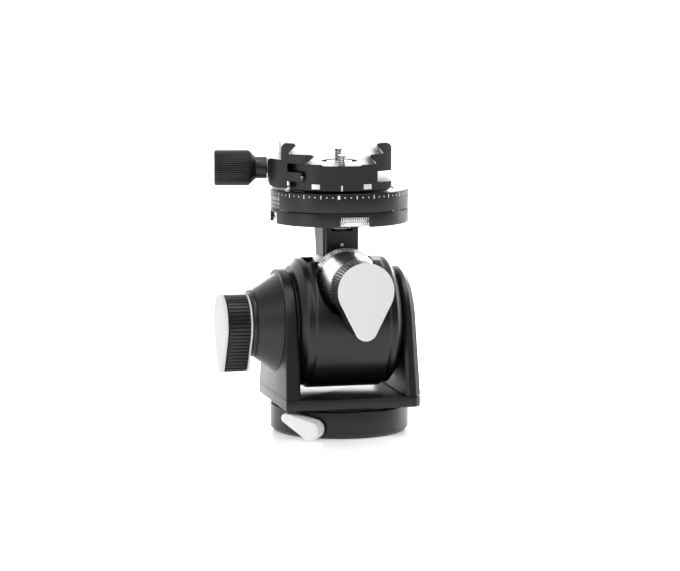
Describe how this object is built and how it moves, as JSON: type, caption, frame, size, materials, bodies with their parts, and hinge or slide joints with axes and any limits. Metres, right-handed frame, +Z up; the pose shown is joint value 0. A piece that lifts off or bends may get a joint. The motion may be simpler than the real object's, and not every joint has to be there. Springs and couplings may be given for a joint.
{
  "type": "three-way tripod head",
  "caption": "Compact pan and tilt tripod head: turning base, drum that tilts in a yoke, side-tilting stem, panning disc and a dovetail quick-release clamp.",
  "frame": {"origin": "centre of the base's underside, on the base's turning axis", "axes": "+Z up; -Y towards the front, where the side-tilt knob stands out; +X to the right, away from the tilt knob"},
  "size_m": [0.0813, 0.0756, 0.1203],
  "materials": {
    "black_anodised": "satin black anodised",
    "silver": "fine turned, clear anodised",
    "white_cap": "fine bead blasted, pale silver",
    "steel": "machined",
    "black_steel": "blackened, satin",
    "brass": "machined",
    "dark_polymer": "low-friction acetal",
    "white_paint": "filled index mark"
  },
  "bodies": {
    "base": {"base_body": "black_anodised", "tripod_socket_post": "brass", "base_thrust_washer": "dark_polymer", "hub_retaining_ring": "steel"},
    "lock_pad": {"base_lock_pad": "dark_polymer"},
    "base_lever": {"base_lock_lever": "white_cap", "base_lock_screw": "steel"},
    "yoke": {"yoke_hub": "steel", "yoke_plate": "black_anodised", "left_arm": "black_anodised", "right_arm": "black_anodised", "arm_screw_1": "steel", "arm_screw_2": "steel", "arm_screw_3": "steel", "arm_screw_4": "steel", "right_pivot_pin": "black_steel", "tilt_lock_housing": "black_anodised"},
    "tilt_plate": {"tilt_pressure_plate": "steel"},
    "tilt_knob": {"tilt_knob_back_plate": "white_cap", "tilt_knob_body": "black_anodised", "tilt_knob_cap": "white_cap", "tilt_lock_screw": "steel"},
    "drum": {"tilt_drum": "black_anodised", "right_pivot_bush": "brass", "right_friction_washer": "dark_polymer", "tilt_journal": "steel", "left_friction_washer": "dark_polymer", "tilt_nut": "steel", "side_dial": "silver", "side_spacer": "black_anodised", "side_friction_disc": "dark_polymer", "side_nut": "steel"},
    "side_knob": {"side_knob_back_plate": "white_cap", "side_knob_body": "black_anodised", "side_knob_cap": "white_cap", "side_lock_screw": "steel"},
    "stem": {"stem": "black_anodised", "index_dot": "white_paint", "pan_housing": "black_anodised", "guard_ring": "black_anodised", "pan_scale_ring": "black_anodised", "pan_thrust_washer": "dark_polymer"},
    "lock_ring": {"pan_lock_ring": "silver"},
    "clamp": {"pan_spindle": "steel", "spindle_clip": "steel", "clamp_body": "black_anodised", "clamp_bolt": "steel", "front_safety_pin_spring": "steel", "rear_safety_pin_spring": "steel"},
    "jaw": {"moving_jaw": "black_anodised", "front_guide_pin": "steel", "rear_guide_pin": "steel"},
    "clamp_knob": {"clamp_knob": "black_anodised", "clamp_screw": "steel"},
    "front_pin": {"front_safety_pin": "steel"},
    "rear_pin": {"rear_safety_pin": "steel"}
  },
  "joints": [
    {"name": "base_pan", "type": "hinge", "parent": "base", "child": "yoke", "pos_m": [0, 0, 0.012], "axis": [0, 0, 1], "continuous": true},
    {"name": "base_lock_turn", "type": "hinge", "parent": "base", "child": "base_lever", "pos_m": [0, 0, 0.0046], "axis": [-0.5373, -0.8434, 0], "range_deg": [0, 24]},
    {"name": "base_pad_slide", "type": "slide", "parent": "base", "child": "lock_pad", "axis": [0.5373, 0.8434, 0], "range_m": [0, 0.0003]},
    {"name": "fore_aft_tilt", "type": "hinge", "parent": "yoke", "child": "drum", "pos_m": [0, 0, 0.0452], "axis": [1, 0, 0], "range_deg": [-90, 35]},
    {"name": "tilt_knob_turn", "type": "hinge", "parent": "yoke", "child": "tilt_knob", "pos_m": [-0.045, 0, 0.0452], "axis": [1, 0, 0], "range_deg": [0, 180]},
    {"name": "tilt_plate_slide", "type": "slide", "parent": "yoke", "child": "tilt_plate", "axis": [-1, 0, 0], "range_m": [0, 0.0004]},
    {"name": "side_tilt", "type": "hinge", "parent": "drum", "child": "stem", "pos_m": [0, 0, 0.0628], "axis": [0, 1, 0], "range_deg": [-30, 30]},
    {"name": "side_knob_turn", "type": "hinge", "parent": "drum", "child": "side_knob", "pos_m": [0, -0.041, 0.0628], "axis": [0, -1, 0], "range_deg": [0, 180]},
    {"name": "top_pan", "type": "hinge", "parent": "stem", "child": "clamp", "pos_m": [0, 0, 0.0964], "axis": [0, 0, 1], "continuous": true},
    {"name": "lock_ring_turn", "type": "hinge", "parent": "stem", "child": "lock_ring", "pos_m": [0, 0, 0.0889], "axis": [0, 0, 1], "range_deg": [0, 25]},
    {"name": "jaw_slide", "type": "slide", "parent": "clamp", "child": "jaw", "axis": [-0.9813, 0.1925, 0], "range_m": [-0.0008, 0.0038]},
    {"name": "clamp_knob_turn", "type": "hinge", "parent": "jaw", "child": "clamp_knob", "pos_m": [-0.03925, 0.0077, 0.1086], "axis": [-0.9813, 0.1925, 0], "range_deg": [-231, 1095]},
    {"name": "front_pin_press", "type": "slide", "parent": "clamp", "child": "front_pin", "axis": [0, 0, -1], "range_m": [0, 0.0034], "stiffness_N_per_m": 300, "deforming": ["front_safety_pin_spring"]},
    {"name": "rear_pin_press", "type": "slide", "parent": "clamp", "child": "rear_pin", "axis": [0, 0, -1], "range_m": [0, 0.0034], "stiffness_N_per_m": 300, "deforming": ["rear_safety_pin_spring"]}
  ],
  "couplings": [
    {"joint": "base_pad_slide", "follows": "base_lock_turn", "m_per_rad": 0.000716},
    {"joint": "tilt_plate_slide", "follows": "tilt_knob_turn", "m_per_rad": 0.000127},
    {"joint": "clamp_knob_turn", "follows": "jaw_slide", "rad_per_m": 5026.6}
  ]
}
